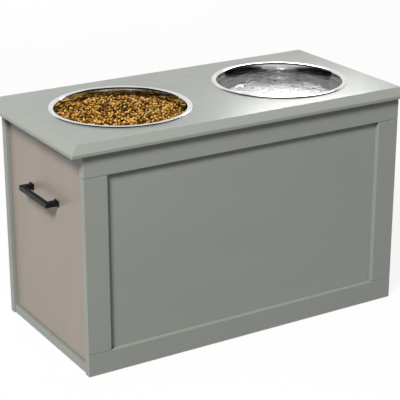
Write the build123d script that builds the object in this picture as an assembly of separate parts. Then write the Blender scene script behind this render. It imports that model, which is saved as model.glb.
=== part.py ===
from build123d import *
import math
import os

# A raised dog feeder that is also a food store: a painted cabinet with a bevelled top slab, two steel bowls
# hanging in holes in the slab, and one deep drawer that slides out of the left end on roller runners.
#
# Millimetres. The origin is on the floor under the middle of the slab. X runs along the panelled front, from
# the drawer end (-X) to the closed end (+X). Y runs from the front (-Y) to the back (+Y). Z is up.

# --- Top slab ---
slab_length = 600.0
slab_width = 306.0
slab_thickness = 15.0
slab_edge_height = 5.0  # upright face left under the bevel
bevel_run = 14.0
side_overhang = 21.0
front_overhang = 8.5
back_overhang = 20.5

# --- Carcass boards ---
carcass_height = 343.5
board_ease = 0.8  # rounding of the painted edges
frame_thickness = 12.0
bottom_rail_height = 35.0
top_rail_height = 35.0
stile_width = 38.0
frame_seam = 0.4  # hairline left between the ends of the stiles and the rails
panel_recess = 7.0
panel_lap = 6.0  # how far the panel reaches behind the rails and stiles
panel_play = 0.2
back_thickness = 12.0
end_thickness = 12.0
base_thickness = 12.0
base_lift = 1.0
base_setback = 1.5
cleat_width = 15.0
cleat_height = 18.0
cleat_end_gap = 6.0

# --- Feet ---
pad_radius = 11.0
pad_proud = 1.5  # how far the pads stand below the boards
pad_inset = 26.0

# --- Bowls ---
bowl_end_margin = 46.5  # from the slab's end to the rim
bowl_cleat_gap = 10.3  # between a bowl's wall and the cleats under the slab
bowl_depth = 66.0
bowl_steel = 0.8
bowl_draft = 7.0  # degrees that the wall leans out
bowl_corner_radius = 20.0
rim_width = 8.6
rim_lift = 1.6  # hollow height under the rolled rim
rim_lip = 1.2
rim_outer_round = 2.0
rim_inner_round = 2.4
rim_flat = 0.2  # upright part of the rim's edge that the rounding leaves
bowl_hole_play = 1.2

# --- Drawer ---
drawer_front_thickness = 15.0
drawer_front_setback = 6.4
drawer_front_gap = 2.0  # beside the front, at each edge
drawer_front_bottom_gap = 2.5
drawer_front_top_gap = 3.0
drawer_rear_gap = 24.6  # between the shut drawer and the closed end
drawer_bowl_gap = 40.6  # between the drawer's top edge and the bowls
drawer_hold = 130.0  # length of the drawer that stays in the cabinet when it is fully out
drawer_board = 12.0
drawer_bottom_thickness = 5.0
drawer_bottom_rise = 10.0
groove_depth = 5.0
groove_play = 0.15

# --- Roller runners ---
runner_space = 12.7  # between a cabinet wall and the drawer's side
runner_steel = 1.2
runner_base_gap = 0.7
runner_side_gap = 1.0  # between the channel's lips and the drawer's angle
flange_side_gap = 2.0  # between the angle's flange and the channel's web
flange_top_gap = 0.8
flange_end_gap = 1.0
drawer_runner_rise = 2.0  # drawer side above the channel's floor
drawer_lip_width = 9.0
runner_end_gap = 3.6
roller_gap = 0.3
drawer_roller_radius = 9.5
roller_width = 5.0
roller_ease = 0.5
roller_inset = 12.0
pin_radius = 3.0
pin_head_radius = 4.5
pin_head = 1.0
pin_play = 0.05
roller_side_play = 0.3
stop_height = 12.0
stop_side_gap = 1.3
stop_gap = 0.5

# --- Pull ---
pull_below_box_top = 11.4
pull_spacing = 86.0
pull_projection = 20.5
pull_bar_thickness = 7.0
pull_bar_height = 8.0
pull_leg_width = 8.5
pull_foot_width = 13.5
pull_foot_height = 9.6
pull_foot_thickness = 1.8
pull_corner_round = 1.2
pull_ease = 0.7
pull_screw_radius = 2.0
pull_screw_head_radius = 4.0
pull_screw_head = 2.2
pull_screw_bite = 8.0

# --- Screws and dowels ---
screw_radius = 1.75
screw_head_radius = 3.5
screw_head = 1.2
screw_bite = 9.0
hole_play = 0.05
slab_screw_count = 3
slab_screw_end = 60.0
runner_screw_count = 3
runner_screw_end = 55.0
drawer_front_screw_inset = 40.0
drawer_runner_screw_rise = 6.0
box_screw_inset = 30.0
dowel_radius = 3.0
dowel_half = 8.0
dowel_hole_spare = 0.5
base_dowel_count = 4
base_dowel_end = 70.0
end_dowel_count = 3
end_dowel_end = 50.0
frame_dowel_inset = 10.0
cutter_overrun = 1.0  # how far a cutter runs past the face that it opens

# --- Places worked out from the sizes ---
carcass_length = slab_length - 2 * side_overhang
left = -carcass_length / 2
right = carcass_length / 2
front = -slab_width / 2 + front_overhang
back = slab_width / 2 - back_overhang
bottom = pad_proud
slab_under = bottom + carcass_height
slab_top = slab_under + slab_thickness
inner_front = front + frame_thickness
inner_back = back - back_thickness
middle = (inner_front + inner_back) / 2
inner_right = right - end_thickness
base_under = bottom + base_lift
base_top = base_under + base_thickness
panel_face = front + panel_recess
panel_bottom = bottom + bottom_rail_height
panel_top = slab_under - top_rail_height
bowl_y = (front + back) / 2
bowl_wall_radius = (inner_back - inner_front) / 2 - cleat_width - bowl_cleat_gap - bowl_steel
bowl_hole_radius = bowl_wall_radius + bowl_steel + bowl_hole_play
bowl_rim_radius = bowl_wall_radius + rim_width
bowl_x = slab_length / 2 - bowl_end_margin - bowl_rim_radius

drawer_front_face = left + drawer_front_setback
box_left = drawer_front_face + drawer_front_thickness
box_right = inner_right - drawer_rear_gap
drawer_travel = box_right - box_left - drawer_hold
box_back = inner_back - runner_space
box_front = 2 * middle - box_back
channel_under = base_top + runner_base_gap
channel_floor = channel_under + runner_steel
channel_room = 2 * (drawer_roller_radius + roller_gap)
channel_top = channel_floor + channel_room + runner_steel
channel_mouth = inner_back - runner_space + runner_steel + runner_side_gap
channel_web_face = inner_back - runner_steel
cabinet_roller_radius = (channel_room - flange_top_gap - runner_steel) / 2 - roller_gap
box_under = channel_floor + drawer_runner_rise
box_top = slab_top - bowl_depth - drawer_bowl_gap
groove_under = box_under + drawer_bottom_rise
runner_left = box_left + runner_end_gap
runner_right = box_right + runner_end_gap
cabinet_roller_x = runner_left + roller_inset
cabinet_roller_z = channel_floor + roller_gap + cabinet_roller_radius
drawer_roller_x = box_right - roller_inset
drawer_roller_z = channel_floor + roller_gap + drawer_roller_radius
flange_under = cabinet_roller_z + cabinet_roller_radius + roller_gap
flange_edge = channel_web_face - flange_side_gap
drawer_web_face = box_back + runner_steel
stop_x = drawer_roller_x - drawer_travel - drawer_roller_radius - stop_gap
stop_edge = drawer_web_face + screw_head + stop_side_gap
pull_z = box_top - pull_below_box_top
pull_feet_y = (-pull_spacing / 2, pull_spacing / 2)


def board(low, high, ease=0.0):
    """A board between two opposite corners, with all its edges rounded by ease."""
    size = [high[i] - low[i] for i in range(3)]
    centre = [(high[i] + low[i]) / 2 for i in range(3)]
    solid = Pos(*centre) * Box(*size)
    if ease:
        solid = fillet(solid.edges(), ease)
    return solid


def rod(point, direction, radius, length):
    """A cylinder that starts at a point and runs along a direction."""
    place = Plane(origin=point, z_dir=direction)
    return place * Cylinder(radius, length, align=(Align.CENTER, Align.CENTER, Align.MIN))


def sunk_screw(point, direction, length, play=0.0):
    """A countersunk screw with its flat head flush at a point; play grows it into its hole."""
    place = Plane(origin=point, z_dir=direction)
    seat = screw_head_radius - screw_radius
    on_foot = (Align.CENTER, Align.CENTER, Align.MIN)
    head = Cone(screw_head_radius + play, screw_radius + play, seat, align=on_foot)
    return place * head + rod(point, direction, screw_radius + play, length)


def pan_screw(point, direction, length, radius, head_radius, head):
    """A flat-headed screw whose head stands on the face at a point."""
    backwards = [-part for part in direction]
    return rod(point, direction, radius, length) + rod(point, backwards, head_radius, head)


def spread(start, end, count):
    """Evenly spaced places from start to end."""
    return [start + (end - start) * i / (count - 1) for i in range(count)]


def on_both_sides(shape):
    """The shape made for the back wall, and its mirror image for the front wall."""
    across = Plane(origin=(0, middle, 0), z_dir=(0, 1, 0))
    return {"front": mirror(shape, about=across), "back": shape}


def take_away(name, cutters):
    """Drills the cutters out of one piece."""
    for cutter in cutters:
        pieces[name] = pieces[name] - cutter


pieces = {}

# --- Top slab: a flat board whose upper edge falls away in a straight bevel, with two round holes ---
edge_plate = board(
    (-slab_length / 2, -slab_width / 2, slab_under),
    (slab_length / 2, slab_width / 2, slab_under + slab_edge_height),
)
bevel_foot = Plane.XY.offset(slab_under + slab_edge_height) * Rectangle(slab_length, slab_width)
bevel_head = Plane.XY.offset(slab_top) * Rectangle(slab_length - 2 * bevel_run, slab_width - 2 * bevel_run)
slab = edge_plate + loft([bevel_foot, bevel_head])
slab = fillet(slab.edges(), board_ease)
for x in (-bowl_x, bowl_x):
    slab = slab - rod((x, bowl_y, slab_under), (0, 0, 1), bowl_hole_radius, slab_thickness)
pieces["top_panel"] = slab

# --- Front frame: two rails across the whole front, two stiles between them, and a thin recessed panel ---
rebate = board(
    (left + stile_width - panel_lap, panel_face, panel_bottom - panel_lap),
    (right - stile_width + panel_lap, inner_front, panel_top + panel_lap),
)
pieces["front_bottom_rail"] = board((left, front, bottom), (right, inner_front, panel_bottom), board_ease)
pieces["front_top_rail"] = board((left, front, panel_top), (right, inner_front, slab_under), board_ease)
stile_bottom = panel_bottom + frame_seam
stile_top = panel_top - frame_seam
pieces["front_left_stile"] = board(
    (left, front, stile_bottom), (left + stile_width, inner_front, stile_top), board_ease
)
pieces["front_right_stile"] = board(
    (right - stile_width, front, stile_bottom), (right, inner_front, stile_top), board_ease
)
for name in ("front_bottom_rail", "front_top_rail", "front_left_stile", "front_right_stile"):
    take_away(name, [rebate])
panel_edge = panel_lap - panel_play
pieces["front_panel"] = board(
    (left + stile_width - panel_edge, panel_face, panel_bottom - panel_edge),
    (right - stile_width + panel_edge, inner_front, panel_top + panel_edge),
)

# --- Back, closed end and base ---
pieces["back_panel"] = board((left, inner_back, bottom), (right, back, slab_under), board_ease)
pieces["right_end_panel"] = board(
    (inner_right, inner_front, bottom), (right, inner_back, slab_under), board_ease
)
pieces["base_panel"] = board(
    (left + base_setback, inner_front, base_under), (inner_right, inner_back, base_top), board_ease
)

# --- Cleats glued under the slab's edges, which the slab is screwed to from below ---
cleat_under = slab_under - cleat_height
cleat_left = box_left + cleat_end_gap
pieces["top_front_cleat"] = board(
    (cleat_left, inner_front, cleat_under), (inner_right, inner_front + cleat_width, slab_under)
)
pieces["top_back_cleat"] = board(
    (cleat_left, inner_back - cleat_width, cleat_under), (inner_right, inner_back, slab_under)
)
pieces["top_end_cleat"] = board(
    (inner_right - cleat_width, inner_front + cleat_width, cleat_under),
    (inner_right, inner_back - cleat_width, slab_under),
)
slab_screw_length = cleat_height + screw_bite
slab_screws = {"top_front_cleat": [], "top_back_cleat": [], "top_end_cleat": []}
for x in spread(cleat_left + slab_screw_end, inner_right - slab_screw_end, slab_screw_count):
    slab_screws["top_front_cleat"].append((x, inner_front + cleat_width / 2, cleat_under))
    slab_screws["top_back_cleat"].append((x, inner_back - cleat_width / 2, cleat_under))
slab_screws["top_end_cleat"].append((inner_right - cleat_width / 2, middle, cleat_under))
screw_points = [point for points in slab_screws.values() for point in points]
for name, points in slab_screws.items():
    holes = [sunk_screw(point, (0, 0, 1), slab_screw_length, hole_play) for point in points]
    take_away(name, holes)
    take_away("top_panel", holes)
pieces["slab_screws"] = [sunk_screw(point, (0, 0, 1), slab_screw_length) for point in screw_points]

# --- Dowels: each lies half in one board and half in the other ---
dowels = []


def dowel_joint(first, second, point, direction):
    """One glued dowel across the joint of two boards, centred on a point of the joint."""
    start = [point[i] - dowel_half * direction[i] for i in range(3)]
    dowels.append(rod(start, direction, dowel_radius, 2 * dowel_half))
    hole_start = [point[i] - (dowel_half + dowel_hole_spare) * direction[i] for i in range(3)]
    hole = rod(hole_start, direction, dowel_radius + hole_play, 2 * (dowel_half + dowel_hole_spare))
    take_away(first, [hole])
    take_away(second, [hole])


frame_dowel_y = front + frame_thickness / 2
for stile, outer, inner in (
    ("front_left_stile", left, left + stile_width),
    ("front_right_stile", right, right - stile_width),
):
    toward = 1 if inner > outer else -1
    for x in (outer + toward * frame_dowel_inset, inner - toward * (frame_dowel_inset + panel_lap)):
        dowel_joint(stile, "front_bottom_rail", (x, frame_dowel_y, panel_bottom), (0, 0, 1))
        dowel_joint(stile, "front_top_rail", (x, frame_dowel_y, panel_top), (0, 0, 1))
base_middle = (base_under + base_top) / 2
for x in spread(left + base_dowel_end, inner_right - base_dowel_end, base_dowel_count):
    dowel_joint("base_panel", "front_bottom_rail", (x, inner_front, base_middle), (0, 1, 0))
    dowel_joint("base_panel", "back_panel", (x, inner_back, base_middle), (0, 1, 0))
end_middle = (inner_right + right) / 2
for z in spread(bottom + end_dowel_end, slab_under - end_dowel_end, end_dowel_count):
    dowel_joint("right_end_panel", "front_right_stile", (end_middle, inner_front, z), (0, 1, 0))
    dowel_joint("right_end_panel", "back_panel", (end_middle, inner_back, z), (0, 1, 0))
pieces["dowels"] = dowels

# --- Foot pads: four rubber discs stuck under the base ---
pad_height = base_under
pieces["foot_pads"] = [
    rod((x, y, 0), (0, 0, 1), pad_radius, pad_height)
    for x in (left + base_setback + pad_inset, inner_right - pad_inset)
    for y in (inner_front + pad_inset, inner_back - pad_inset)
]

# --- Cabinet runners: a steel channel on each wall, with a stop tab inside and a roller at its mouth ---
channel = board((runner_left, channel_mouth, channel_under), (runner_right, inner_back, channel_top))
channel = channel - board(
    (runner_left - cutter_overrun, channel_mouth - cutter_overrun, channel_floor),
    (runner_right + cutter_overrun, channel_web_face, channel_top - runner_steel),
)
channel = channel + board(
    (stop_x - runner_steel, stop_edge, channel_floor),
    (stop_x, channel_web_face, channel_floor + stop_height),
)
cabinet_pin_start = (cabinet_roller_x, inner_back, cabinet_roller_z)
channel = channel - rod(cabinet_pin_start, (0, -1, 0), pin_radius + hole_play, runner_steel)

# --- Drawer runners: a steel angle under each side, whose flange rides on the cabinet's roller ---
drawer_angle = board(
    (box_left, box_back, box_under - runner_steel), (box_right, drawer_web_face, flange_under + runner_steel)
)
drawer_angle = drawer_angle + board(
    (box_left, box_back - drawer_lip_width, box_under - runner_steel), (box_right, box_back, box_under)
)
flange_end = drawer_roller_x - drawer_roller_radius - flange_end_gap
drawer_angle = drawer_angle + board(
    (box_left, box_back, flange_under),
    (flange_end, flange_edge, flange_under + runner_steel),
)
drawer_pin_start = (drawer_roller_x, box_back, drawer_roller_z)
drawer_angle = drawer_angle - rod(drawer_pin_start, (0, 1, 0), pin_radius + hole_play, runner_steel)

# --- Rollers and the riveted pins that they turn on ---
pin_shank = runner_steel + roller_width + 2 * roller_side_play


def roller_pin(start, direction):
    """A pin that stands out of a runner's web and ends in a head that keeps the roller on."""
    end = [start[i] + pin_shank * direction[i] for i in range(3)]
    return rod(start, direction, pin_radius, pin_shank) + rod(end, direction, pin_head_radius, pin_head)


def roller(start, direction, radius):
    """A nylon wheel with rounded edges and a running bore, beside a runner's web."""
    inset = runner_steel + roller_side_play
    near = [start[i] + inset * direction[i] for i in range(3)]
    wheel = rod(near, direction, radius, roller_width)
    wheel = fillet(wheel.edges().filter_by(GeomType.CIRCLE), roller_ease)
    return wheel - rod(near, direction, pin_radius + pin_play, roller_width)


cabinet_pins = on_both_sides(roller_pin(cabinet_pin_start, (0, -1, 0)))
drawer_pins = on_both_sides(roller_pin(drawer_pin_start, (0, 1, 0)))
pieces["cabinet_roller_pins"] = list(cabinet_pins.values())
pieces["drawer_roller_pins"] = list(drawer_pins.values())
cabinet_rollers = on_both_sides(roller(cabinet_pin_start, (0, -1, 0), cabinet_roller_radius))
drawer_rollers = on_both_sides(roller(drawer_pin_start, (0, 1, 0), drawer_roller_radius))
cabinet_channels = on_both_sides(channel)
drawer_angles = on_both_sides(drawer_angle)
for side in ("front", "back"):
    pieces[side + "_cabinet_runner"] = cabinet_channels[side]
    pieces[side + "_drawer_runner"] = drawer_angles[side]
    pieces[side + "_cabinet_roller"] = cabinet_rollers[side]
    pieces[side + "_drawer_roller"] = drawer_rollers[side]

# --- Drawer box: two sides, a front and a rear between them, and a thin bottom held in grooves ---
box_inner_front = box_front + drawer_board
box_inner_back = box_back - drawer_board
box_inner_left = box_left + drawer_board
box_inner_right = box_right - drawer_board
pieces["drawer_front_side"] = board((box_left, box_front, box_under), (box_right, box_inner_front, box_top))
pieces["drawer_back_side"] = board((box_left, box_inner_back, box_under), (box_right, box_back, box_top))
pieces["drawer_inner_front"] = board(
    (box_left, box_inner_front, box_under), (box_inner_left, box_inner_back, box_top)
)
pieces["drawer_rear"] = board(
    (box_inner_right, box_inner_front, box_under), (box_right, box_inner_back, box_top)
)
tongue = groove_depth - groove_play
bottom_low = (box_inner_left - tongue, box_inner_front - tongue, groove_under + groove_play)
bottom_high = (
    box_inner_right + tongue,
    box_inner_back + tongue,
    groove_under + groove_play + drawer_bottom_thickness,
)
pieces["drawer_bottom"] = board(bottom_low, bottom_high)
groove = board([size - groove_play for size in bottom_low], [size + groove_play for size in bottom_high])
box_boards = ("drawer_front_side", "drawer_back_side", "drawer_inner_front", "drawer_rear")
for name in box_boards:
    take_away(name, [groove])

# --- Drawer front: one painted board set in the cabinet's open end, screwed on from inside the box ---
drawer_front_low = (drawer_front_face, inner_front + drawer_front_gap, base_top + drawer_front_bottom_gap)
drawer_front_high = (box_left, inner_back - drawer_front_gap, slab_under - drawer_front_top_gap)
pieces["drawer_front"] = board(drawer_front_low, drawer_front_high, board_ease)

front_screw_length = drawer_board + screw_bite
front_screw_points = [
    (box_inner_left, y, z)
    for y in (box_inner_front + drawer_front_screw_inset, box_inner_back - drawer_front_screw_inset)
    for z in (box_under + drawer_front_screw_inset, box_top - drawer_front_screw_inset)
]
pieces["drawer_front_screws"] = [sunk_screw(p, (-1, 0, 0), front_screw_length) for p in front_screw_points]
for name in ("drawer_inner_front", "drawer_front"):
    take_away(name, [sunk_screw(p, (-1, 0, 0), front_screw_length, hole_play) for p in front_screw_points])

# --- Screws through the drawer's sides into its inner front and its rear ---
box_screw_length = drawer_board + screw_bite
pieces["drawer_box_screws"] = []
for end_board, x in (
    ("drawer_inner_front", (box_left + box_inner_left) / 2),
    ("drawer_rear", (box_inner_right + box_right) / 2),
):
    for z in (flange_under + box_screw_inset, box_top - box_screw_inset):
        for side_board, y, direction in (
            ("drawer_front_side", box_front, (0, 1, 0)),
            ("drawer_back_side", box_back, (0, -1, 0)),
        ):
            pieces["drawer_box_screws"].append(sunk_screw((x, y, z), direction, box_screw_length))
            hole = sunk_screw((x, y, z), direction, box_screw_length, hole_play)
            take_away(end_board, [hole])
            take_away(side_board, [hole])

# --- Runner screws: through each channel into its wall, and through each angle into the drawer's side ---
runner_screw_length = runner_steel + screw_bite
pieces["cabinet_runner_screws"] = []
pieces["drawer_runner_screws"] = []
channel_middle = (channel_under + channel_top) / 2
for x in spread(cabinet_roller_x + runner_screw_end, runner_right - runner_screw_end, runner_screw_count):
    place = (x, channel_web_face, channel_middle)
    screw = pan_screw(place, (0, 1, 0), runner_screw_length, screw_radius, screw_head_radius, screw_head)
    hole = rod(place, (0, 1, 0), screw_radius + hole_play, runner_screw_length)
    pieces["cabinet_runner_screws"] += list(on_both_sides(screw).values())
    holes = on_both_sides(hole)
    take_away("front_cabinet_runner", [holes["front"]])
    take_away("front_bottom_rail", [holes["front"]])
    take_away("back_cabinet_runner", [holes["back"]])
    take_away("back_panel", [holes["back"]])
drawer_screw_z = box_under + drawer_runner_screw_rise
for x in spread(box_left + runner_screw_end, drawer_roller_x - runner_screw_end, runner_screw_count):
    place = (x, drawer_web_face, drawer_screw_z)
    screw = pan_screw(place, (0, -1, 0), runner_screw_length, screw_radius, screw_head_radius, screw_head)
    hole = rod(place, (0, -1, 0), screw_radius + hole_play, runner_screw_length)
    pieces["drawer_runner_screws"] += list(on_both_sides(screw).values())
    holes = on_both_sides(hole)
    take_away("front_drawer_runner", [holes["front"]])
    take_away("drawer_front_side", [holes["front"]])
    take_away("back_drawer_runner", [holes["back"]])
    take_away("drawer_back_side", [holes["back"]])

# --- Pull: a square black bar on two legs with small feet, held by two long screws from inside the drawer ---
pull_half = (pull_spacing + pull_leg_width) / 2
pull_outside = board(
    (drawer_front_face - pull_projection, -pull_half, pull_z - pull_bar_height / 2),
    (drawer_front_face, pull_half, pull_z + pull_bar_height / 2),
)
outer_corners = pull_outside.edges().filter_by(Axis.Z).group_by(Axis.X)[0]
pull = fillet(outer_corners, pull_corner_round)
finger_half = (pull_spacing - pull_leg_width) / 2
pull = pull - board(
    (drawer_front_face - pull_projection + pull_bar_thickness, -finger_half, pull_z - pull_bar_height),
    (drawer_front_face + cutter_overrun, finger_half, pull_z + pull_bar_height),
)
pull = fillet(pull.edges().filter_by(GeomType.LINE), pull_ease)
for y in pull_feet_y:
    pull = pull + board(
        (drawer_front_face - pull_foot_thickness, y - pull_foot_width / 2, pull_z - pull_foot_height / 2),
        (drawer_front_face, y + pull_foot_width / 2, pull_z + pull_foot_height / 2),
    )
pieces["drawer_pull"] = pull
pull_screw_length = drawer_board + drawer_front_thickness + pull_screw_bite
pieces["pull_screws"] = []
for y in pull_feet_y:
    start = (box_inner_left, y, pull_z)
    screw_head_size = (pull_screw_head_radius, pull_screw_head)
    screw = pan_screw(start, (-1, 0, 0), pull_screw_length, pull_screw_radius, *screw_head_size)
    pieces["pull_screws"].append(screw)
    hole = rod(start, (-1, 0, 0), pull_screw_radius + hole_play, pull_screw_length)
    for name in ("drawer_inner_front", "drawer_front", "drawer_pull"):
        take_away(name, [hole])

# --- Bowls: thin spun steel shells whose rolled rims rest on the slab round the holes ---
lean = math.tan(math.radians(bowl_draft))
skin = bowl_steel / math.cos(math.radians(bowl_draft))  # the wall's thickness, measured level


def wall_inside(height):
    """The radius of the bowl's inner wall at a height above the slab."""
    return bowl_wall_radius + height * lean


rim_height = rim_lift + bowl_steel
shell_outline = [
    (0, -bowl_depth),
    (wall_inside(-bowl_depth) + skin, -bowl_depth),
    (wall_inside(rim_lift) + skin, rim_lift),
    (bowl_rim_radius - rim_lip, rim_lift),
    (bowl_rim_radius - rim_lip, 0),
    (bowl_rim_radius, 0),
    (bowl_rim_radius, rim_height),
    (wall_inside(rim_height), rim_height),
    (wall_inside(bowl_steel - bowl_depth), bowl_steel - bowl_depth),
    (0, bowl_steel - bowl_depth),
]
shell_rounds = {
    1: bowl_corner_radius + bowl_steel,
    2: rim_inner_round - bowl_steel,
    6: min(rim_outer_round, rim_height - rim_flat),
    7: rim_inner_round,
    8: bowl_corner_radius,
}


def bowl(centre_x):
    """The shell's outline, with its corners rounded, turned about the bowl's upright axis."""
    flat = make_face(Plane.XZ * Polyline(*shell_outline, close=True))
    for corner, radius in shell_rounds.items():
        x, z = shell_outline[corner]
        here = flat.vertices().sort_by_distance((x, 0, z))[0]
        flat = fillet(here, radius)
    return Pos(centre_x, bowl_y, slab_top) * revolve(flat, Axis.Z)


pieces["food_bowl"] = bowl(-bowl_x)
pieces["water_bowl"] = bowl(bowl_x)

os.makedirs("parts", exist_ok=True)
for name, shape in pieces.items():
    if isinstance(shape, list):
        shape = Compound(children=shape)
    export_step(shape, "parts/" + name + ".step")
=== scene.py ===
import math

import bpy
import numpy as np
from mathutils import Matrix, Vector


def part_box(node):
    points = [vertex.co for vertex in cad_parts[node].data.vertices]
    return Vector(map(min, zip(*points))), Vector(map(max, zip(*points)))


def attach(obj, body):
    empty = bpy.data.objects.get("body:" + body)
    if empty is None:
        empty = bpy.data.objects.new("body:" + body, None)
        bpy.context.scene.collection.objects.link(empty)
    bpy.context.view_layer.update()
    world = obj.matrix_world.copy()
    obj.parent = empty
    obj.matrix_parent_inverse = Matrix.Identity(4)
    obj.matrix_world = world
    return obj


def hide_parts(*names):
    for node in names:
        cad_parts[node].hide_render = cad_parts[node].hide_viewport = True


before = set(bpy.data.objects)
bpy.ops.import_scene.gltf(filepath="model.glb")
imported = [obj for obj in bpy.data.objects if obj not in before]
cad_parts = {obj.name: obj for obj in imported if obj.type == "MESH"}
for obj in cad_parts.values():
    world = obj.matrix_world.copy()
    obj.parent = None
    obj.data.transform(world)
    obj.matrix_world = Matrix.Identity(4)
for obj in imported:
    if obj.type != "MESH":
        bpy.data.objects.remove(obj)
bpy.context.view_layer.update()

scene = bpy.context.scene
scene.view_settings.view_transform = "Standard"

# ---------------------------------------------------------------------------------------------------------
# Camera. A long lens stands to the left of the panelled front and looks down at the feeder, so that the
# drawer end, the long front and the bowls in the slab all show. It has no shift and no depth of field.
# ---------------------------------------------------------------------------------------------------------
camera_place = (-1.0966, -1.7978, 0.9618)
camera_turn = 31.37  # degrees from +Y towards +X
camera_dip = 20.36  # degrees below level
camera_data = bpy.data.cameras.new("camera")
camera_data.sensor_width = 36.0
camera_data.lens = 126.0
camera_data.clip_start = 0.05
camera_data.clip_end = 60.0
camera = bpy.data.objects.new("camera", camera_data)
camera.location = camera_place
camera.rotation_euler = (math.radians(90 - camera_dip), 0.0, -math.radians(camera_turn))
scene.collection.objects.link(camera)
scene.camera = camera

# ---------------------------------------------------------------------------------------------------------
# Slab and carcass boards. They are fibreboard with sage grey satin paint, rolled on and sanded between
# coats. Rails, stiles and boards are glued and dowelled, with fine seams, and the slab is screwed on from
# below through its cleats.
# ---------------------------------------------------------------------------------------------------------
sage = (157, 161, 153)
long_boards = (
    "top_panel",
    "front_top_rail",
    "front_bottom_rail",
    "front_panel",
    "back_panel",
    "right_end_panel",
    "base_panel",
)
upright_boards = ("front_left_stile", "front_right_stile")
along_x = (0.25, 1, 1)  # roller strokes four times as long as wide, along a lying board
along_z = (1, 1, 0.25)  # the same along an upright board


def as_light(colour):
    """A screen colour of 0 to 255 as linear light, by the power curve of the sRGB standard."""
    part = np.clip(np.array(colour, dtype=float) / 255, 0, 1)
    light = np.where(part <= 0.04045, part / 12.92, ((part + 0.055) / 1.055) ** 2.4)
    return tuple(float(value) for value in light) + (1.0,)


def shade(colour, factor):
    """The screen colour made lighter or darker by a factor."""
    return tuple(part * factor for part in colour)


class Finish:
    """A material in the making. Its patterns are laid out in the Object coordinates, so in metres."""

    def __init__(self, name):
        self.material = bpy.data.materials.new(name)
        self.material.use_nodes = True
        self.nodes = self.material.node_tree.nodes
        self.links = self.material.node_tree.links
        self.surface = self.nodes["Principled BSDF"]
        self.place = self.nodes.new("ShaderNodeTexCoord").outputs["Object"]

    def set(self, **values):
        """Writes plain numbers on the shader's own sockets."""
        for name, value in values.items():
            self.surface.inputs[name.replace("_", " ")].default_value = value

    def feed(self, value, socket):
        """Leads a pattern into one of the shader's sockets."""
        self.links.new(value, self.surface.inputs[socket])

    def moved(self, centre=(0, 0, 0), stretch=(1, 1, 1)):
        """The place measured from a centre and multiplied by a stretch, axis by axis."""
        node = self.nodes.new("ShaderNodeMapping")
        node.inputs["Scale"].default_value = stretch
        node.inputs["Location"].default_value = [-c * s for c, s in zip(centre, stretch)]
        self.links.new(self.place, node.inputs["Vector"])
        return node.outputs["Vector"]

    def noise(self, scale, detail=2.0, rough=0.5, source=None):
        """Cloudy noise from 0 to 1, with scale cells to the metre."""
        node = self.nodes.new("ShaderNodeTexNoise")
        node.inputs["Scale"].default_value = scale
        node.inputs["Detail"].default_value = detail
        node.inputs["Roughness"].default_value = rough
        self.links.new(source or self.place, node.inputs["Vector"])
        return node.outputs["Fac"]

    def sum(self, first, second, operation="ADD"):
        """Two patterns joined by one operation, point by point."""
        node = self.nodes.new("ShaderNodeMath")
        node.operation = operation
        self.links.new(first, node.inputs[0])
        self.links.new(second, node.inputs[1])
        return node.outputs[0]

    def between(self, value, low, high, start=0.3, end=0.7):
        """Stretches a pattern's part from start to end over low to high."""
        node = self.nodes.new("ShaderNodeMapRange")
        node.inputs["From Min"].default_value = start
        node.inputs["From Max"].default_value = end
        node.inputs["To Min"].default_value = low
        node.inputs["To Max"].default_value = high
        self.links.new(value, node.inputs["Value"])
        return node.outputs["Result"]

    def colours(self, value, stops):
        """Colours along a pattern. Each stop is a place from 0 to 1 and a screen colour."""
        node = self.nodes.new("ShaderNodeValToRGB")
        ramp = node.color_ramp
        while len(ramp.elements) < len(stops):
            ramp.elements.new(1.0)
        for element, (where, colour) in zip(ramp.elements, stops):
            element.position = where
            element.color = as_light(colour)
        self.links.new(value, node.inputs["Fac"])
        return node.outputs["Color"]

    def raised(self, *layers):
        """
        Bumps the surface. Each layer is a pattern, the height in metres that 1 stands for, and a strength
        from 0 to 1. A layer lies on the ones before it.
        """
        under = None
        for pattern, height, strength in layers:
            node = self.nodes.new("ShaderNodeBump")
            node.inputs["Strength"].default_value = strength
            node.inputs["Distance"].default_value = height
            self.links.new(pattern, node.inputs["Height"])
            if under is not None:
                self.links.new(under, node.inputs["Normal"])
            under = node.outputs["Normal"]
        self.feed(under, "Normal")


def satin_paint(name, colour, strokes):
    """Satin paint: a faint cloud of tone, the roller's stipple, and gloss that drifts along the strokes."""
    darker, lighter = 0.985, 1.015
    glossy, dull = 0.32, 0.40
    sweep_height, stipple_height = 0.0004, 0.00005
    paint = Finish(name)
    drawn_out = paint.moved(stretch=strokes)
    cloud = paint.noise(scale=7.0, detail=3.0, source=drawn_out)
    sweep = paint.noise(scale=45.0, detail=2.0, source=drawn_out)
    stipple = paint.noise(scale=900.0, detail=3.0, rough=0.6)
    tone = [(0.3, shade(colour, darker)), (0.7, shade(colour, lighter))]
    paint.feed(paint.colours(cloud, tone), "Base Color")
    paint.feed(paint.between(sweep, glossy, dull), "Roughness")
    paint.raised((sweep, sweep_height, 0.06), (stipple, stipple_height, 0.25))
    return paint.material


def dress(names, material):
    """Gives every surface of the named nodes one material."""
    for name in names:
        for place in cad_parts[name].material_slots:
            place.material = material


dress(long_boards, satin_paint("sage_paint_long", sage, along_x))
dress(upright_boards, satin_paint("sage_paint_upright", sage, along_z))

# ---------------------------------------------------------------------------------------------------------
# Drawer front. One fibreboard panel in taupe satin paint, which fills the cabinet's open end with a narrow
# gap all round. It is screwed to the drawer box from inside.
# ---------------------------------------------------------------------------------------------------------
taupe = (165, 152, 140)
dress(("drawer_front",), satin_paint("taupe_paint", taupe, along_z))

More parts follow.
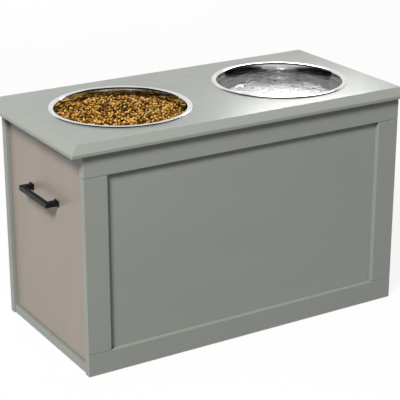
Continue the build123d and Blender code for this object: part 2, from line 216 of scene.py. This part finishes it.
# ---------------------------------------------------------------------------------------------------------
# Drawer box. Sides, ends and a thin bottom in grooves, all of particle board with a pale melamine skin that
# is printed with a faint straight grain.
# ---------------------------------------------------------------------------------------------------------
melamine = (212, 207, 196)
lengthwise = (0.03, 1, 1)  # grain drawn out along the drawer's sides
crosswise = (1, 0.03, 1)  # grain drawn out across the drawer


def printed_melamine(name, grain):
    """Printed melamine: fine streaks along the grain over a pale ground."""
    darker, lighter = 0.93, 1.03
    glossy, dull = 0.42, 0.55
    print_depth = 0.00004
    skin = Finish(name)
    streaks = skin.noise(scale=420.0, detail=4.0, rough=0.65, source=skin.moved(stretch=grain))
    cloud = skin.noise(scale=9.0)
    tone = [(0.3, shade(melamine, darker)), (0.55, melamine), (0.75, shade(melamine, lighter))]
    skin.feed(skin.colours(streaks, tone), "Base Color")
    skin.feed(skin.between(cloud, glossy, dull), "Roughness")
    skin.raised((streaks, print_depth, 0.3))
    return skin.material


long_skin = printed_melamine("melamine_long", lengthwise)
dress(("drawer_front_side", "drawer_back_side", "drawer_bottom"), long_skin)
dress(("drawer_inner_front", "drawer_rear"), printed_melamine("melamine_short", crosswise))

# ---------------------------------------------------------------------------------------------------------
# Cleats and dowels. Bare softwood strips lie along the top of the cabinet's inside, and the slab's screws
# go up through them. Fluted dowels of the same wood cross the joints of the boards.
# ---------------------------------------------------------------------------------------------------------
pine = (212, 178, 130)
grain_along = (0.04, 1, 1)
grain_across = (1, 0.04, 1)


def bare_wood(name, grain):
    """Bare wood: broad bands and fine fibres, both drawn out along the grain."""
    late_wood, early_wood = 0.76, 1.08
    band_share, fibre_share = 0.6, 0.4
    even, coarse = 0.6, 0.8
    fibre_height = 0.0001
    wood = Finish(name)
    bands = wood.noise(scale=60.0, source=wood.moved(stretch=grain))
    fibres = wood.noise(scale=700.0, detail=4.0, rough=0.7, source=wood.moved(stretch=grain))
    figure = wood.sum(wood.between(bands, 0.0, band_share), wood.between(fibres, 0.0, fibre_share))
    tone = [(0.0, shade(pine, late_wood)), (0.5, pine), (1.0, shade(pine, early_wood))]
    wood.feed(wood.colours(figure, tone), "Base Color")
    wood.feed(wood.between(fibres, even, coarse), "Roughness")
    wood.raised((fibres, fibre_height, 0.4))
    return wood.material


dress(("top_front_cleat", "top_back_cleat", "dowels"), bare_wood("pine_long", grain_along))
dress(("top_end_cleat",), bare_wood("pine_short", grain_across))

# ---------------------------------------------------------------------------------------------------------
# Runners, pins and screws. Rolled and turned steel with bright zinc plating, which is slightly mottled. The
# runners are screwed to the cabinet's and the drawer's sides, and the rollers' pins are riveted into them.
# ---------------------------------------------------------------------------------------------------------
zinc = (196, 199, 204)
zinc_pieces = (
    "front_cabinet_runner",
    "back_cabinet_runner",
    "front_drawer_runner",
    "back_drawer_runner",
    "cabinet_roller_pins",
    "drawer_roller_pins",
    "cabinet_runner_screws",
    "drawer_runner_screws",
    "slab_screws",
    "drawer_front_screws",
    "drawer_box_screws",
    "pull_screws",
)
rolled_along = (0.05, 1, 1)
rolling_depth = 0.00003
plating = Finish("zinc_plate")
plating.set(Metallic=1.0)
mottle = plating.noise(scale=160.0, detail=3.0, rough=0.6)
rolling = plating.noise(scale=500.0, source=plating.moved(stretch=rolled_along))
plating.feed(plating.colours(mottle, [(0.3, shade(zinc, 0.92)), (0.7, shade(zinc, 1.04))]), "Base Color")
plating.feed(plating.between(mottle, low=0.26, high=0.42), "Roughness")
plating.raised((rolling, rolling_depth, 0.3))
dress(zinc_pieces, plating.material)

# ---------------------------------------------------------------------------------------------------------
# Rollers. Wheels turned from off-white nylon, a little hazy where they have run. Each spins on its own pin:
# two at the mouth of the cabinet's channels, and two at the rear end of the drawer's angles.
# ---------------------------------------------------------------------------------------------------------
nylon = (230, 228, 220)
rollers = ("front_cabinet_roller", "back_cabinet_roller", "front_drawer_roller", "back_drawer_roller")
turned_nylon = Finish("white_nylon")
haze = turned_nylon.noise(scale=240.0)
haze_height = 0.00004
turned_nylon.feed(turned_nylon.colours(haze, [(0.3, shade(nylon, 0.96)), (0.7, nylon)]), "Base Color")
turned_nylon.feed(turned_nylon.between(haze, low=0.32, high=0.42), "Roughness")
turned_nylon.raised((haze, haze_height, 0.2))
dress(rollers, turned_nylon.material)

# ---------------------------------------------------------------------------------------------------------
# Foot pads. Four discs punched from dark grained rubber sheet and stuck under the corners of the base. They
# are all that touches the floor.
# ---------------------------------------------------------------------------------------------------------
rubber_grey = (38, 38, 39)
sheet_rubber = Finish("pad_rubber")
speckle = sheet_rubber.noise(scale=1500.0)
speckle_height = 0.0001
speckle_tone = [(0.3, rubber_grey), (0.75, shade(rubber_grey, 1.5))]
sheet_rubber.feed(sheet_rubber.colours(speckle, speckle_tone), "Base Color")
sheet_rubber.feed(sheet_rubber.between(speckle, low=0.7, high=0.85), "Roughness")
sheet_rubber.raised((speckle, speckle_height, 0.5))
dress(("foot_pads",), sheet_rubber.material)

# ---------------------------------------------------------------------------------------------------------
# Pull. A cast bar on two legs with small feet, in satin black powder coat. Two long screws from inside the
# drawer hold it, one in each leg.
# ---------------------------------------------------------------------------------------------------------
black = (14, 15, 16)
powder_coat = Finish("black_powder_coat")
orange_peel = powder_coat.noise(scale=1300.0)
peel_height = 0.00006
drift = powder_coat.noise(scale=60.0)
powder_coat.feed(powder_coat.colours(drift, [(0.3, black), (0.7, shade(black, 1.25))]), "Base Color")
powder_coat.set(Specular_IOR_Level=0.3)
powder_coat.feed(powder_coat.between(drift, low=0.44, high=0.54), "Roughness")
powder_coat.raised((orange_peel, peel_height, 0.35))
dress(("drawer_pull",), powder_coat.material)

# ---------------------------------------------------------------------------------------------------------
# Bowls. Spun from thin stainless steel, with a bright polished wall and a flat satin floor. The wall leans
# out, and the rolled rim rests on the slab, so that the bowl drops into its hole and lifts out.
# ---------------------------------------------------------------------------------------------------------
steel = (222, 222, 223)
bowl_steel = 0.0008
bowl_lean = math.tan(math.radians(7.0))
bowl_corner = 0.020
rim_width = 0.0086  # from the rim's edge to the wall, level with the slab's top
rim_lift = 0.0016  # height of the hollow under the rim
rim_lip = 0.0012  # thickness of the rolled edge that stands on the slab
rim_outer_round = 0.0021
rim_inner_round = 0.0034
rim_bead = 0.00025  # rounding of the rolled edge where it meets the slab
bowl_turns = 192
satin_floor = 0.36  # how much rougher the floor is than the wall
satin_corner = 0.5  # how much of the rounded corner is satin as well
satin_edge = 0.006  # width over which satin turns to polish
polish_range = (0.05, 0.11)  # the wall's roughness, from bright to wiped
wave_height = 0.0012  # slight waves of the spun sheet
ring_height = 0.00001  # the tool's rings
slab_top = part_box("top_panel")[1][2]


def rounded(corners, rounds, steps):
    """
    The outline through the corners, with an arc in place of each corner that has a radius. An arc touches
    both sides at radius / tan(half the corner's angle) from the corner, its centre lies on the bisector,
    and its points turn evenly from the one touching point to the other.
    """
    corners = np.array(corners, dtype=float)
    outline = []
    for i, corner in enumerate(corners):
        radius = rounds.get(i, 0.0)
        if not radius:
            outline.append(corner[None, :])
            continue
        back = corners[i - 1] - corner
        ahead = corners[i + 1] - corner
        back /= np.linalg.norm(back)
        ahead /= np.linalg.norm(ahead)
        half = math.acos(np.clip(back @ ahead, -1, 1)) / 2
        bisector = (back + ahead) / np.linalg.norm(back + ahead)
        centre = corner + bisector * radius / math.sin(half)
        first = corner + back * radius / math.tan(half) - centre
        last = corner + ahead * radius / math.tan(half) - centre
        share = np.linspace(0, 1, steps[i])[:, None]
        sweep = math.pi - 2 * half
        arc = (first * np.sin((1 - share) * sweep) + last * np.sin(share * sweep)) / math.sin(sweep)
        outline.append(centre + arc)
    return np.concatenate(outline)


def turned(name, outline, centre, turns):
    """
    The outline, a list of (radius, height), turned about the upright line through the centre: a point is at
    (radius x cos angle, radius x sin angle, height). Both ends of the outline lie on the axis and close as
    poles.
    """
    angle = np.arange(turns) * 2 * np.pi / turns
    radius, height = outline[1:-1, 0], outline[1:-1, 1]
    rings = np.stack(
        [
            np.outer(radius, np.cos(angle)),
            np.outer(radius, np.sin(angle)),
            np.repeat(height[:, None], turns, axis=1),
        ],
        axis=2,
    ).reshape(-1, 3)
    poles = np.array([(0, 0, outline[0, 1]), (0, 0, outline[-1, 1])])
    points = np.concatenate([rings, poles]) + np.array(centre)
    here = np.arange(len(radius) * turns).reshape(len(radius), turns)
    beside = np.roll(here, -1, axis=1)
    walls = np.stack([here[:-1], beside[:-1], beside[1:], here[1:]], axis=2).reshape(-1, 4)
    first_pole, last_pole = len(rings), len(rings) + 1
    start = np.stack([np.full(turns, first_pole), beside[0], here[0]], axis=1)
    end = np.stack([np.full(turns, last_pole), here[-1], beside[-1]], axis=1)
    mesh = bpy.data.meshes.new(name)
    mesh.from_pydata(points.tolist(), [], walls.tolist() + start.tolist() + end.tolist())
    mesh.shade_smooth()
    piece = bpy.data.objects.new(name, mesh)
    scene.collection.objects.link(piece)
    return piece


def polished_steel(name, centre, floor_radius):
    """
    Polished steel: fine rings left by the spinning and a haze of wiping marks, about the bowl's own axis.
    The flat floor is satin, because only the wall and the rim were buffed, and small spots are worn bright.
    """
    polish = Finish(name)
    polish.set(Metallic=1.0)
    split = polish.nodes.new("ShaderNodeSeparateXYZ")
    polish.links.new(polish.moved(centre), split.inputs["Vector"])
    square = polish.sum(
        polish.sum(split.outputs["X"], split.outputs["X"], "MULTIPLY"),
        polish.sum(split.outputs["Y"], split.outputs["Y"], "MULTIPLY"),
    )
    radius = polish.nodes.new("ShaderNodeMath")
    radius.operation = "SQRT"
    polish.links.new(square, radius.inputs[0])
    across = polish.nodes.new("ShaderNodeCombineXYZ")
    polish.links.new(radius.outputs[0], across.inputs["X"])
    polish.links.new(split.outputs["Z"], across.inputs["Y"])
    rings = polish.noise(scale=700.0, detail=3.0, rough=0.6, source=across.outputs["Vector"])
    wiping = polish.noise(scale=35.0, detail=4.0, rough=0.6)
    waves = polish.noise(scale=28.0, detail=1.0)
    polish.feed(polish.colours(wiping, [(0.3, shade(steel, 0.96)), (0.7, steel)]), "Base Color")
    satin = polish.between(radius.outputs[0], satin_floor, 0.0, floor_radius, floor_radius + satin_edge)
    unworn = polish.between(polish.noise(scale=170.0, detail=2.0), 1.0, 0.0, start=0.56, end=0.60)
    matt = polish.sum(satin, unworn, "MULTIPLY")
    polish.feed(polish.sum(matt, polish.between(wiping, *polish_range)), "Roughness")
    polish.raised((waves, wave_height, 0.08), (rings, ring_height, 0.5))
    return polish.material


def bowl_outline(rim_radius, depth):
    """
    The shell's outline from the middle of its underside round the rim to the middle of its floor. The
    wall's radius grows by the lean times the height, and the rim's height is measured from the slab's top.
    """
    wall_foot = rim_radius - rim_width
    skin = bowl_steel * math.sqrt(1 + bowl_lean**2)
    rim_height = rim_lift + bowl_steel
    corners = [
        (0, -depth),
        (wall_foot - depth * bowl_lean + skin, -depth),
        (wall_foot + rim_lift * bowl_lean + skin, rim_lift),
        (rim_radius - rim_lip, rim_lift),
        (rim_radius - rim_lip, 0),
        (rim_radius, 0),
        (rim_radius, rim_height),
        (wall_foot + rim_height * bowl_lean, rim_height),
        (wall_foot + (bowl_steel - depth) * bowl_lean, bowl_steel - depth),
        (0, bowl_steel - depth),
    ]
    rounds = {
        1: bowl_corner + bowl_steel,
        2: rim_inner_round - bowl_steel,
        5: rim_bead,
        6: rim_outer_round,
        7: rim_inner_round,
        8: bowl_corner,
    }
    steps = {1: 14, 2: 8, 5: 4, 6: 12, 7: 14, 8: 14}
    return rounded(corners, rounds, steps)


bowls = {}
for name in ("food_bowl", "water_bowl"):
    low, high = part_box(name)
    centre = ((low[0] + high[0]) / 2, (low[1] + high[1]) / 2, slab_top)
    rim_radius = (high[0] - low[0]) / 2
    depth = slab_top - low[2]
    bowls[name] = {"centre": centre, "foot": rim_radius - rim_width, "depth": depth}
    shell = turned(name + "_steel", bowl_outline(rim_radius, depth), centre, bowl_turns)
    floor_radius = rim_radius - rim_width - depth * bowl_lean - satin_corner * bowl_corner
    shell.data.materials.append(polished_steel(name + "_polish", centre, floor_radius))
    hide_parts(name)
    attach(shell, name)

# ---------------------------------------------------------------------------------------------------------
# Dry food. Small baked pellets that fill the left bowl in a low heap, golden brown, with painted shade that
# # darkens their undersides. They lie loose in two layers with more on top, over a near-black bed, painted
# # shade that stands for the pellets further down.
# ---------------------------------------------------------------------------------------------------------
pellet_length = 0.0050
pellet_width = 0.0039
pellet_height = 0.0033
pellet_gap = 0.0047
heap_edge = -0.0120  # the pellets' level at the wall, from the slab's top
heap_rise = 0.0085
layer_drop = 0.0031
pellet_nudge = 0.18  # sideways, in gaps
pellet_bob = 0.0006  # up and down
pellet_variety = 0.1  # how much the sizes vary
wall_room = 0.6  # between the heap and the wall, in pellet lengths
lump_height = 0.0012
small_lump_height = 0.0007
loose_pellets = 380
loose_spread = 0.93  # how far out the loose ones lie, as a share of the heap's radius
loose_lift = 0.0022
pellet_sides = 8
pellet_rings = 3
underside_painted_shade = 0.5  # how much painted shade darkens a pellet's underside
draw = np.random.default_rng(7)
food = bowls["food_bowl"]


def wall_at(bowl, height):
    """The radius of a bowl's inner wall at a height above the slab's top."""
    return bowl["foot"] + height * bowl_lean


heap_radius = wall_at(food, heap_edge) - wall_room * pellet_length


def heap_height(x, y):
    """
    The heap's level: highest in the middle and falling off as the square of the distance. Broad lumps, a
    sine along x times a cosine along y, and small ones, a slanting sine, are added.
    """
    share = (x**2 + y**2) / heap_radius**2
    broad = lump_height * np.sin(x * 95 + 1.3) * np.cos(y * 80 - 0.4)
    lumps = broad + small_lump_height * np.sin(x * 210 + y * 170)
    return heap_edge + heap_rise * (1 - share) + lumps


def layer(drop):
    """Pellet places on a six-sided lattice, each nudged at random, under the heap's surface by a drop."""
    count = int(2 * heap_radius / pellet_gap) + 2
    column, row = np.meshgrid(np.arange(-count, count + 1), np.arange(-count, count + 1))
    x = (column + 0.5 * (row % 2)).ravel() * pellet_gap
    y = row.ravel() * pellet_gap * math.sqrt(0.75)
    x = x + draw.normal(0, pellet_nudge * pellet_gap, x.shape)
    y = y + draw.normal(0, pellet_nudge * pellet_gap, y.shape)
    keep = x**2 + y**2 < heap_radius**2
    x, y = x[keep], y[keep]
    z = heap_height(x, y) - drop + draw.normal(0, pellet_bob, x.shape)
    return np.stack([x, y, z], axis=1)


far = heap_radius * np.sqrt(draw.random(loose_pellets)) * loose_spread
around = 2 * np.pi * draw.random(loose_pellets)
loose_x, loose_y = far * np.cos(around), far * np.sin(around)
loose = np.stack([loose_x, loose_y, heap_height(loose_x, loose_y) + loose_lift], axis=1)
places = np.concatenate([layer(layer_drop), layer(0.0), loose]) + np.array(food["centre"])


def pellets(name, places):
    """
    Rounded pellets: ellipsoids whose half axes vary by a tenth, each turned by its own random rotation and
    set at its place. The rotation is that of a random unit quaternion. A point attribute holds a random
    tone for each pellet, with painted shade that darkens it from its top to its underside.
    """
    count = len(places)
    turn = np.arange(pellet_sides) * 2 * np.pi / pellet_sides
    rise = np.linspace(-np.pi / 2, np.pi / 2, pellet_rings + 2)[1:-1]
    ball = np.stack(
        [
            np.outer(np.cos(rise), np.cos(turn)),
            np.outer(np.cos(rise), np.sin(turn)),
            np.repeat(np.sin(rise)[:, None], pellet_sides, axis=1),
        ],
        axis=2,
    ).reshape(-1, 3)
    ball = np.concatenate([ball, [(0, 0, -1), (0, 0, 1)]])
    size = np.array([pellet_length, pellet_width, pellet_height]) / 2
    size = size * draw.normal(1, pellet_variety, (count, 3)).clip(0.75, 1.25)
    q = draw.normal(size=(count, 4))
    q /= np.linalg.norm(q, axis=1)[:, None]
    w, x, y, z = q.T
    rotation = np.array(
        [
            [1 - 2 * (y * y + z * z), 2 * (x * y - w * z), 2 * (x * z + w * y)],
            [2 * (x * y + w * z), 1 - 2 * (x * x + z * z), 2 * (y * z - w * x)],
            [2 * (x * z - w * y), 2 * (y * z + w * x), 1 - 2 * (x * x + y * y)],
        ]
    ).transpose(2, 0, 1)
    points = np.einsum("nij,nkj->nki", rotation, ball[None] * size[:, None]) + places[:, None]
    here = np.arange(pellet_rings * pellet_sides).reshape(pellet_rings, pellet_sides)
    beside = np.roll(here, -1, axis=1)
    band = np.stack([here[:-1], beside[:-1], beside[1:], here[1:]], axis=2).reshape(-1, 4)
    low_pole, high_pole = here.size, here.size + 1
    under = np.stack([np.full(pellet_sides, low_pole), beside[0], here[0]], axis=1)
    over = np.stack([np.full(pellet_sides, high_pole), here[-1], beside[-1]], axis=1)
    step = (np.arange(count) * len(ball))[:, None, None]
    faces = (band[None] + step).reshape(-1, 4).tolist()
    faces += (under[None] + step).reshape(-1, 3).tolist()
    faces += (over[None] + step).reshape(-1, 3).tolist()
    mesh = bpy.data.meshes.new(name)
    mesh.from_pydata(points.reshape(-1, 3).tolist(), [], faces)
    mesh.shade_smooth()
    # Painted shade: each point is darkened by how far below its pellet's middle it lies.
    depth = (points[:, :, 2] - places[:, None, 2]) / size[:, :1]
    tone_with_painted_shade = draw.random(count)[:, None] + underside_painted_shade * (depth.clip(-1, 1) - 1)
    tone = mesh.attributes.new("tone_and_shade", "FLOAT", "POINT")
    tone.data.foreach_set("value", tone_with_painted_shade.ravel().astype(np.float32))
    piece = bpy.data.objects.new(name, mesh)
    scene.collection.objects.link(piece)
    return piece


crust = Finish("crust_with_painted_shade")
tone_and_shade = crust.nodes.new("ShaderNodeAttribute")
tone_and_shade.attribute_name = "tone_and_shade"
pits = crust.noise(scale=1400.0, detail=3.0, rough=0.6)
pit_depth = 0.0003
# The ramp's darkest stops are painted shade, reached on the pellets' undersides; the rest is the crust's
# own tone.
crust_tone_and_shade = [
    (0.0, (8, 5, 2)),
    (0.3, (80, 50, 13)),
    (0.5, (168, 118, 40)),
    (0.7, (234, 182, 90)),
    (1.0, (255, 236, 178)),
]
crust.set(Specular_IOR_Level=0.15)
shaded_tone_share = crust.between(tone_and_shade.outputs["Fac"], 0.0, 0.8, start=-0.4, end=1.0)
pitted_tone = crust.between(pits, 0.0, 0.2)
crust.feed(crust.colours(crust.sum(shaded_tone_share, pitted_tone), crust_tone_and_shade), "Base Color")
crust.feed(crust.between(pits, low=0.4, high=0.6), "Roughness")
crust.raised((pits, pit_depth, 0.6))
dry_food = pellets("dry_food", places)
dry_food.data.materials.append(crust.material)
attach(dry_food, "food_bowl")

# The bed's outline runs up the bowl's wall, and back to the middle over a crown shaped like the heap.
floor_gap = 0.0001
side_gap = 0.0002
crown_share = 0.8  # of the heap's rise
crown_steps = 9
corner_steps = 10
bed_turns = 96
bed_top = heap_edge - layer_drop
bed_floor = bowl_steel - food["depth"] + floor_gap
bed_side = wall_at(food, bed_top) - side_gap
bed_foot = wall_at(food, bed_floor) - side_gap
share = np.linspace(0, 1, crown_steps)
crown_level = bed_top + crown_share * heap_rise * (1 - (1 - share) ** 2)
bed_crown = np.stack([bed_side * (1 - share), crown_level], axis=1)
bed_corners = [(0, bed_floor), (bed_foot, bed_floor), (bed_side, bed_top)]
bed_shell = rounded(bed_corners, {1: bowl_corner}, {1: corner_steps})
bed = turned("dry_food_bed", np.concatenate([bed_shell, bed_crown[1:]]), food["centre"], bed_turns)
# The bed's near-black colour is painted shade, standing for the pellets deeper in the heap that lie in
# shadow.
bed_shade_finish = Finish("food_bed_painted_shade")
bed_lumps = bed_shade_finish.noise(scale=800.0, detail=3.0, rough=0.6)
crumb_height = 0.0015
bed_shade_finish.feed(bed_shade_finish.colours(bed_lumps, [(0.3, (15, 8, 2)), (0.7, (40, 23, 7))]), "Base Color")
bed_shade_finish.feed(bed_shade_finish.between(bed_lumps, low=0.7, high=0.9), "Roughness")
bed_shade_finish.raised((bed_lumps, crumb_height, 0.8))
bed.data.materials.append(bed_shade_finish.material)
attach(bed, "food_bowl")

# ---------------------------------------------------------------------------------------------------------
# Water. It fills the right bowl to just under the rim and lies against the steel all round. Its surface
# still moves a little from pouring.
# ---------------------------------------------------------------------------------------------------------
water_level = -0.0075
wetting = 0.0003  # how far the water's outline reaches into the steel, so that no air lies between them
ripple_height = 0.00024
water_turns = 192
water_circles = 70
water_corner_steps = 14
skin_depth = 0.00001  # points nearer to the water's level than this belong to its surface
fill = bowls["water_bowl"]
water_floor = bowl_steel - fill["depth"] - wetting
water_side = wall_at(fill, water_level) + wetting
water_foot = wall_at(fill, water_floor) + wetting
water_corners = [(0, water_floor), (water_foot, water_floor), (water_side, water_level)]
water_shell = rounded(water_corners, {1: bowl_corner}, {1: water_corner_steps})
out_from_middle = water_side * np.linspace(1, 0, water_circles)[1:]
water_skin = np.stack([out_from_middle, np.full(len(out_from_middle), water_level)], axis=1)
water = turned("water", np.concatenate([water_shell, water_skin]), fill["centre"], water_turns)
place = np.empty(len(water.data.vertices) * 3)
water.data.vertices.foreach_get("co", place)
place = place.reshape(-1, 3)
off = place - np.array(fill["centre"])
on_skin = off[:, 2] > water_level - skin_depth
reach = np.hypot(off[:, 0], off[:, 1]) / water_side


def ripples(x, y):
    """
    Waves from -2.4 to 2.4: the sines of the distances from two points beside the middle, which make rings,
    and the sine of a slanting distance, which makes straight waves.
    """
    return (
        np.sin(np.hypot(x - 0.03, y + 0.02) * 520)
        + 0.8 * np.sin(np.hypot(x + 0.05, y - 0.01) * 410 + 1.0)
        + 0.6 * np.sin(x * 300 + y * 190)
    )


# The waves die down towards the wall, by the fourth power of the distance from the middle.
place[:, 2] += np.where(on_skin, ripple_height * ripples(off[:, 0], off[:, 1]) * (1 - reach**4), 0)
water.data.vertices.foreach_set("co", place.ravel())
water.data.update()
clear = Finish("clear_water")
clear.set(Transmission_Weight=1.0, IOR=1.33)
tint = clear.noise(scale=30.0)
clear.feed(clear.colours(tint, [(0.3, (250, 253, 254)), (0.7, (255, 255, 255))]), "Base Color")
clear.feed(clear.between(tint, low=0.0, high=0.01), "Roughness")
chop = clear.noise(scale=260.0, detail=2.0)
chop_height = 0.0008
clear.raised((chop, chop_height, 0.45))
water.data.materials.append(clear.material)
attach(water, "water_bowl")

# ---------------------------------------------------------------------------------------------------------
# Room. A pale floor under a white surround. A square light high on the left throws the shadows, and weak
# ones fill them. One lamp lays a sheen on the slab, and one shows only through the water. Two dark screens
# show only in the polished steel and the water.
# ---------------------------------------------------------------------------------------------------------
floor_reach = 6.0
surround_light = 0.06  # the white surround's strength as light on the object
floor_bounce = 0.10  # how much the floor throws back at the object
floor_white = 1.0
floor_veil = 0.88  # share of plain white over the floor's shaded paper, where it is seen
screen_black = 0.01


def seen_or_mirrored(nodes, links):
    """1 for light paths that show the background: straight from the camera, off metal, or through glass."""
    path = nodes.new("ShaderNodeLightPath")
    total = path.outputs["Is Camera Ray"]
    for kind in ("Is Glossy Ray", "Is Transmission Ray"):
        node = nodes.new("ShaderNodeMath")
        node.operation = "MAXIMUM"
        links.new(total, node.inputs[0])
        links.new(path.outputs[kind], node.inputs[1])
        total = node.outputs[0]
    return total


def mixed(tree, share, first, second):
    """Two shaders mixed by a share of the second one."""
    node = tree.nodes.new("ShaderNodeMixShader")
    if isinstance(share, float):
        node.inputs["Fac"].default_value = share
    else:
        tree.links.new(share, node.inputs["Fac"])
    tree.links.new(first, node.inputs[1])
    tree.links.new(second, node.inputs[2])
    return node.outputs["Shader"]


def grey_paper(tree, brightness):
    """A matt grey surface."""
    node = tree.nodes.new("ShaderNodeBsdfDiffuse")
    node.inputs["Color"].default_value = (brightness, brightness, brightness, 1)
    return node.outputs["BSDF"]


world = bpy.data.worlds.new("surround")
scene.world = world
world.use_nodes = True
sky = world.node_tree
sky.nodes.clear()
dim = sky.nodes.new("ShaderNodeBackground")
dim.inputs["Color"].default_value = (1, 1, 1, 1)
dim.inputs["Strength"].default_value = surround_light
white = sky.nodes.new("ShaderNodeBackground")
white.inputs["Color"].default_value = (1, 1, 1, 1)
sky_choice = seen_or_mirrored(sky.nodes, sky.links)
sky_mix = mixed(sky, sky_choice, dim.outputs["Background"], white.outputs["Background"])
sky.links.new(sky_mix, sky.nodes.new("ShaderNodeOutputWorld").inputs["Surface"])

floor_mesh = bpy.data.meshes.new("floor")
floor_corners = [(x * floor_reach, y * floor_reach, 0) for x, y in ((-1, -1), (1, -1), (1, 1), (-1, 1))]
floor_mesh.from_pydata(floor_corners, [], [(0, 1, 2, 3)])
floor = bpy.data.objects.new("floor", floor_mesh)
scene.collection.objects.link(floor)
floor_material = bpy.data.materials.new("floor_paper")
floor_material.use_nodes = True
paper = floor_material.node_tree
paper.nodes.clear()
glow = paper.nodes.new("ShaderNodeEmission")
seen_floor = mixed(paper, floor_veil, grey_paper(paper, floor_white), glow.outputs["Emission"])
floor_choice = seen_or_mirrored(paper.nodes, paper.links)
floor_mix = mixed(paper, floor_choice, grey_paper(paper, floor_bounce), seen_floor)
paper.links.new(floor_mix, paper.nodes.new("ShaderNodeOutputMaterial").inputs["Surface"])
floor.data.materials.append(floor_material)


def soft_light(name, aim, towards, distance, width, height, strength, lit=True, mirrored=True, sunk=False):
    """
    A rectangular light in a direction from a point, turned to face that point. Its power is
    strength x pi^2 x distance^2 watts, so that a white surface facing it there shines with that strength.
    With lit off it leaves out the matt part of what it lights, and with mirrored off its mirror image. With
    sunk on it shows through the water all the same.
    """
    lamp = bpy.data.lights.new(name, "AREA")
    lamp.shape = "RECTANGLE"
    lamp.size = width
    lamp.size_y = height
    lamp.energy = strength * math.pi**2 * distance**2
    light = bpy.data.objects.new(name, lamp)
    out = np.array(towards, dtype=float)
    out /= np.linalg.norm(out)
    light.location = np.array(aim) + out * distance
    light.rotation_euler = (math.acos(out[2]), 0, math.atan2(out[0], -out[1]))
    light.visible_camera = False
    light.visible_diffuse = lit
    light.visible_glossy = mirrored
    light.visible_transmission = mirrored or sunk
    scene.collection.objects.link(light)


middle = (0.0, 0.0, 0.2)
sheen_aim = (0.244, -0.377, 0.36)
# For each: its name, the point it faces, the direction to it, distance, width, height and strength.
soft_light("key_light", middle, (-0.600, -0.445, 0.665), 5.0, 1.2, 1.2, 1.08, mirrored=False)
soft_light("fill_light", middle, (-0.20, -0.70, 0.68), 5.0, 1.2, 1.2, 0.07, mirrored=False)
soft_light("side_light", middle, (-0.75, 0.60, 0.10), 4.0, 1.6, 1.2, 0.04, mirrored=False)
soft_light("top_light", middle, (0.10, 0.20, 1.00), 4.0, 2.0, 2.0, 0.05)
soft_light("back_light", middle, (0.25, 0.96, 0.12), 4.0, 1.6, 1.2, 0.38, mirrored=False)
soft_light("end_light", middle, (0.98, 0.10, 0.12), 4.0, 1.6, 1.2, 0.30, mirrored=False)
soft_light(
    "water_light", middle, (0.52, 0.85, 0.64), 5.0, 4.0, 3.2, 0.52, lit=False, mirrored=False, sunk=True
)
soft_light("sheen_light", sheen_aim, (0.182, 0.896, 0.406), 0.64, 0.264, 0.079, 0.54, lit=False)


def dark_screen(name, centre, towards, reach, low, high, spread):
    """
    Part of a sphere about a centre, seen only in polished metal and water: from a low to a high angle above
    level, and a spread to each side of a direction, in degrees. A point is at the centre plus the reach
    times (cos rise x cos around, cos rise x sin around, sin rise).
    """
    around = np.radians(np.linspace(-spread, spread, 25)) + math.atan2(towards[1], towards[0])
    rise = np.radians(np.linspace(low, high, 13))
    points = np.stack(
        [
            np.outer(np.cos(rise), np.cos(around)),
            np.outer(np.cos(rise), np.sin(around)),
            np.repeat(np.sin(rise)[:, None], len(around), axis=1),
        ],
        axis=2,
    )
    here = np.arange(points.shape[0] * points.shape[1]).reshape(points.shape[:2])
    faces = np.stack([here[:-1, :-1], here[:-1, 1:], here[1:, 1:], here[1:, :-1]], axis=2).reshape(-1, 4)
    mesh = bpy.data.meshes.new(name)
    mesh.from_pydata((points.reshape(-1, 3) * reach + np.array(centre)).tolist(), [], faces.tolist())
    screen = bpy.data.objects.new(name, mesh)
    scene.collection.objects.link(screen)
    cloth = bpy.data.materials.new(name)
    cloth.use_nodes = True
    cloth.node_tree.nodes.clear()
    black_cloth = grey_paper(cloth.node_tree, screen_black)
    output = cloth.node_tree.nodes.new("ShaderNodeOutputMaterial")
    cloth.node_tree.links.new(black_cloth, output.inputs["Surface"])
    mesh.materials.append(cloth)
    screen.visible_camera = False
    screen.visible_diffuse = False
    screen.visible_shadow = False


camera_side = (-0.52, -0.85)  # the direction of the camera, seen from above
dark_screen("front_screen", middle, camera_side, reach=8.0, low=4.0, high=60.0, spread=118.0)
dark_screen("overhead_screen", middle, camera_side, reach=8.0, low=60.0, high=89.0, spread=180.0)
